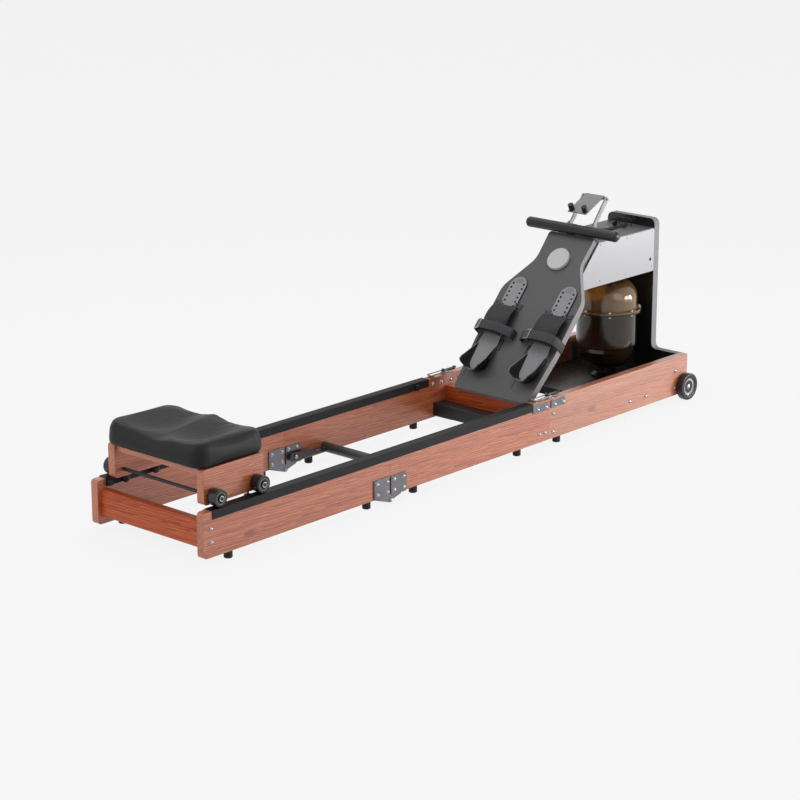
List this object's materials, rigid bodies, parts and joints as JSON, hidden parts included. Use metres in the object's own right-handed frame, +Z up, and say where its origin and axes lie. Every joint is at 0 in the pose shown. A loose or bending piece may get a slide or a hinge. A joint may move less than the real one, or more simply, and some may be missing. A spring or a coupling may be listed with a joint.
{
  "type": "folding water rowing machine",
  "caption": "Folding wooden rowing machine with a rolling seat, sloped footboard, pull handle on a strap and a round water tank.",
  "frame": {"origin": "centre of the bounding box's footprint, on the floor", "axes": "+X from the seat end to the tank end, +Y to the rower's left when facing the tank, +Z up"},
  "size_m": [2.147, 0.485, 0.6627],
  "materials": {
    "wood": "oiled",
    "black_board": "gloss",
    "grey_board": "satin",
    "light_plastic": "satin",
    "black_metal": "satin",
    "silver_sheet": "brushed",
    "bolt_steel": "dark",
    "tank_shell": "clear smoked",
    "rubber": "matte",
    "brass": "plain",
    "plate_steel": "satin",
    "chrome": "polished",
    "grey_metal": "satin",
    "webbing": "woven",
    "black_plastic": "moulded",
    "foam": "matte",
    "grey_plastic": "moulded",
    "tyre": "smooth",
    "seat_skin": "satin"
  },
  "bodies": {
    "base": {"base_boards": "wood", "base_crossbeam": "wood", "tank_platform": "black_board", "front_panel": "grey_board", "footboard": "grey_board", "footboard_disc": "light_plastic", "top_deck": "grey_board", "tank_mounts": "black_metal", "side_panels": "silver_sheet", "base_fasteners": "bolt_steel", "tank_upper": "tank_shell", "tank_lower": "tank_shell", "tank_seal": "rubber", "flange_bolts": "brass", "base_feet": "rubber", "base_brackets": "plate_steel", "strap_guide": "black_metal", "holder_base": "grey_metal", "foot_straps": "webbing", "foot_hardware": "plate_steel", "pull_strap": "webbing"},
    "strap_roller": {"strap_roller": "chrome"},
    "strap_drum": {"strap_drum": "black_plastic"},
    "handle": {"handle_bar": "foam"},
    "foot_bed_left": {"foot_bed_left": "grey_plastic"},
    "foot_bed_right": {"foot_bed_right": "grey_plastic"},
    "impeller": {"impeller": "black_plastic", "impeller_shaft": "chrome"},
    "fill_plug": {"fill_plug": "black_plastic"},
    "holder_arm": {"holder_arm": "grey_metal"},
    "phone_tray": {"phone_tray": "grey_metal"},
    "latch_lever_near": {"latch_lever_near": "black_metal"},
    "latch_lever_far": {"latch_lever_far": "black_metal"},
    "latch_bail_near": {"latch_bail_near": "chrome"},
    "latch_bail_far": {"latch_bail_far": "chrome"},
    "wheel_near": {"wheel_near": "tyre"},
    "wheel_far": {"wheel_far": "tyre"},
    "middle": {"mid_boards": "wood", "mid_rails": "black_metal", "mid_crossbar": "black_metal", "mid_brackets": "plate_steel", "mid_bolts": "bolt_steel", "mid_rubber": "rubber"},
    "lock_bar": {"lock_bar": "grey_metal"},
    "rear": {"rear_boards": "wood", "rear_rails": "black_metal", "rear_beam": "wood", "rear_hinge_plates": "plate_steel", "rear_bolts": "bolt_steel", "rear_rubber": "rubber"},
    "seat": {"carriage": "wood", "seat_pad": "seat_skin", "seat_rods": "grey_metal"},
    "rollers_rear": {"rollers_rear": "tyre"},
    "rollers_front": {"rollers_front": "tyre"},
    "guide_rear_near": {"guide_roller_rear_near": "tyre"},
    "guide_rear_far": {"guide_roller_rear_far": "tyre"},
    "guide_front_near": {"guide_roller_front_near": "tyre"},
    "guide_front_far": {"guide_roller_front_far": "tyre"}
  },
  "joints": [
    {"name": "front_fold", "type": "hinge", "parent": "base", "child": "middle", "pos_m": [0.3435, 0, 0.012], "axis": [0, -1, 0], "range_deg": [0, 60]},
    {"name": "rear_fold", "type": "hinge", "parent": "middle", "child": "rear", "pos_m": [-0.3625, 0, 0.008], "axis": [0, -1, 0], "range_deg": [0, 180]},
    {"name": "lock_bar_lift", "type": "hinge", "parent": "middle", "child": "lock_bar", "pos_m": [-0.3315, 0, 0.042], "axis": [0, -1, 0], "range_deg": [0, 25]},
    {"name": "seat_travel", "type": "slide", "parent": "rear", "child": "seat", "axis": [1, 0, 0], "range_m": [-0.03, 1.06]},
    {"name": "rollers_rear_spin", "type": "hinge", "parent": "seat", "child": "rollers_rear", "pos_m": [-1.0075, 0, 0.1713], "axis": [0, 1, 0], "continuous": true},
    {"name": "rollers_front_spin", "type": "hinge", "parent": "seat", "child": "rollers_front", "pos_m": [-0.8515, 0, 0.1713], "axis": [0, 1, 0], "continuous": true},
    {"name": "guide_rear_near_spin", "type": "hinge", "parent": "seat", "child": "guide_rear_near", "pos_m": [-0.9835, -0.1792, 0.135], "axis": [0, 0, 1], "continuous": true},
    {"name": "guide_rear_far_spin", "type": "hinge", "parent": "seat", "child": "guide_rear_far", "pos_m": [-0.9835, 0.1792, 0.135], "axis": [0, 0, 1], "continuous": true},
    {"name": "guide_front_near_spin", "type": "hinge", "parent": "seat", "child": "guide_front_near", "pos_m": [-0.8755, -0.1792, 0.135], "axis": [0, 0, 1], "continuous": true},
    {"name": "guide_front_far_spin", "type": "hinge", "parent": "seat", "child": "guide_front_far", "pos_m": [-0.8755, 0.1792, 0.135], "axis": [0, 0, 1], "continuous": true},
    {"name": "wheel_near_spin", "type": "hinge", "parent": "base", "child": "wheel_near", "pos_m": [1.0305, -0.2315, 0.043], "axis": [0, 1, 0], "continuous": true},
    {"name": "wheel_far_spin", "type": "hinge", "parent": "base", "child": "wheel_far", "pos_m": [1.0305, 0.2315, 0.043], "axis": [0, 1, 0], "continuous": true},
    {"name": "handle_pull", "type": "slide", "parent": "base", "child": "handle", "axis": [-1, 0, 0], "range_m": [0, 1.15], "stiffness_N_per_m": 20, "deforming": ["pull_strap"]},
    {"name": "strap_roller_spin", "type": "hinge", "parent": "base", "child": "strap_roller", "pos_m": [0.9785, 0, 0.51605], "axis": [0, 1, 0], "continuous": true},
    {"name": "strap_drum_spin", "type": "hinge", "parent": "base", "child": "strap_drum", "pos_m": [0.9045, 0, 0.50005], "axis": [0, 0, 1], "continuous": true},
    {"name": "impeller_spin", "type": "hinge", "parent": "base", "child": "impeller", "pos_m": [0.9045, 0, 0.17], "axis": [0, 0, 1], "continuous": true},
    {"name": "foot_adjust_left", "type": "slide", "parent": "base", "child": "foot_bed_left", "axis": [-0.6691, 0, -0.7431], "range_m": [0, 0.0312]},
    {"name": "foot_adjust_right", "type": "slide", "parent": "base", "child": "foot_bed_right", "axis": [-0.6691, 0, -0.7431], "range_m": [0, 0.0312]},
    {"name": "fill_plug_lift", "type": "slide", "parent": "base", "child": "fill_plug", "axis": [0, 0, 1], "range_m": [0, 0.014]},
    {"name": "holder_arm_tilt", "type": "hinge", "parent": "base", "child": "holder_arm", "pos_m": [0.7656, 0, 0.57405], "axis": [0, 1, 0], "range_deg": [-20, 20]},
    {"name": "phone_tray_tilt", "type": "hinge", "parent": "holder_arm", "child": "phone_tray", "pos_m": [0.82979, 0, 0.65332], "axis": [0, 1, 0], "range_deg": [-20, 20]},
    {"name": "latch_lever_near_lift", "type": "hinge", "parent": "base", "child": "latch_lever_near", "pos_m": [0.3525, -0.205, 0.155], "axis": [0, -1, 0], "range_deg": [0, 110]},
    {"name": "latch_bail_near_swing", "type": "hinge", "parent": "latch_lever_near", "child": "latch_bail_near", "pos_m": [0.3625, -0.205, 0.153], "axis": [0, 1, 0], "range_deg": [0, 130]},
    {"name": "latch_lever_far_lift", "type": "hinge", "parent": "base", "child": "latch_lever_far", "pos_m": [0.3525, 0.205, 0.155], "axis": [0, -1, 0], "range_deg": [0, 110]},
    {"name": "latch_bail_far_swing", "type": "hinge", "parent": "latch_lever_far", "child": "latch_bail_far", "pos_m": [0.3625, 0.205, 0.153], "axis": [0, 1, 0], "range_deg": [0, 130]}
  ],
  "couplings": [
    {"joint": "latch_bail_near_swing", "follows": "latch_lever_near_lift", "ratio": 1.15},
    {"joint": "latch_bail_far_swing", "follows": "latch_lever_far_lift", "ratio": 1.15},
    {"joint": "rollers_rear_spin", "follows": "seat_travel", "rad_per_m": 42.553},
    {"joint": "guide_rear_near_spin", "follows": "seat_travel", "rad_per_m": -90.909},
    {"joint": "guide_rear_far_spin", "follows": "seat_travel", "rad_per_m": 90.909},
    {"joint": "rollers_front_spin", "follows": "seat_travel", "rad_per_m": 42.553},
    {"joint": "guide_front_near_spin", "follows": "seat_travel", "rad_per_m": -90.909},
    {"joint": "guide_front_far_spin", "follows": "seat_travel", "rad_per_m": 90.909},
    {"joint": "strap_roller_spin", "follows": "handle_pull", "rad_per_m": -61.35},
    {"joint": "strap_drum_spin", "follows": "handle_pull", "rad_per_m": -42.919}
  ]
}
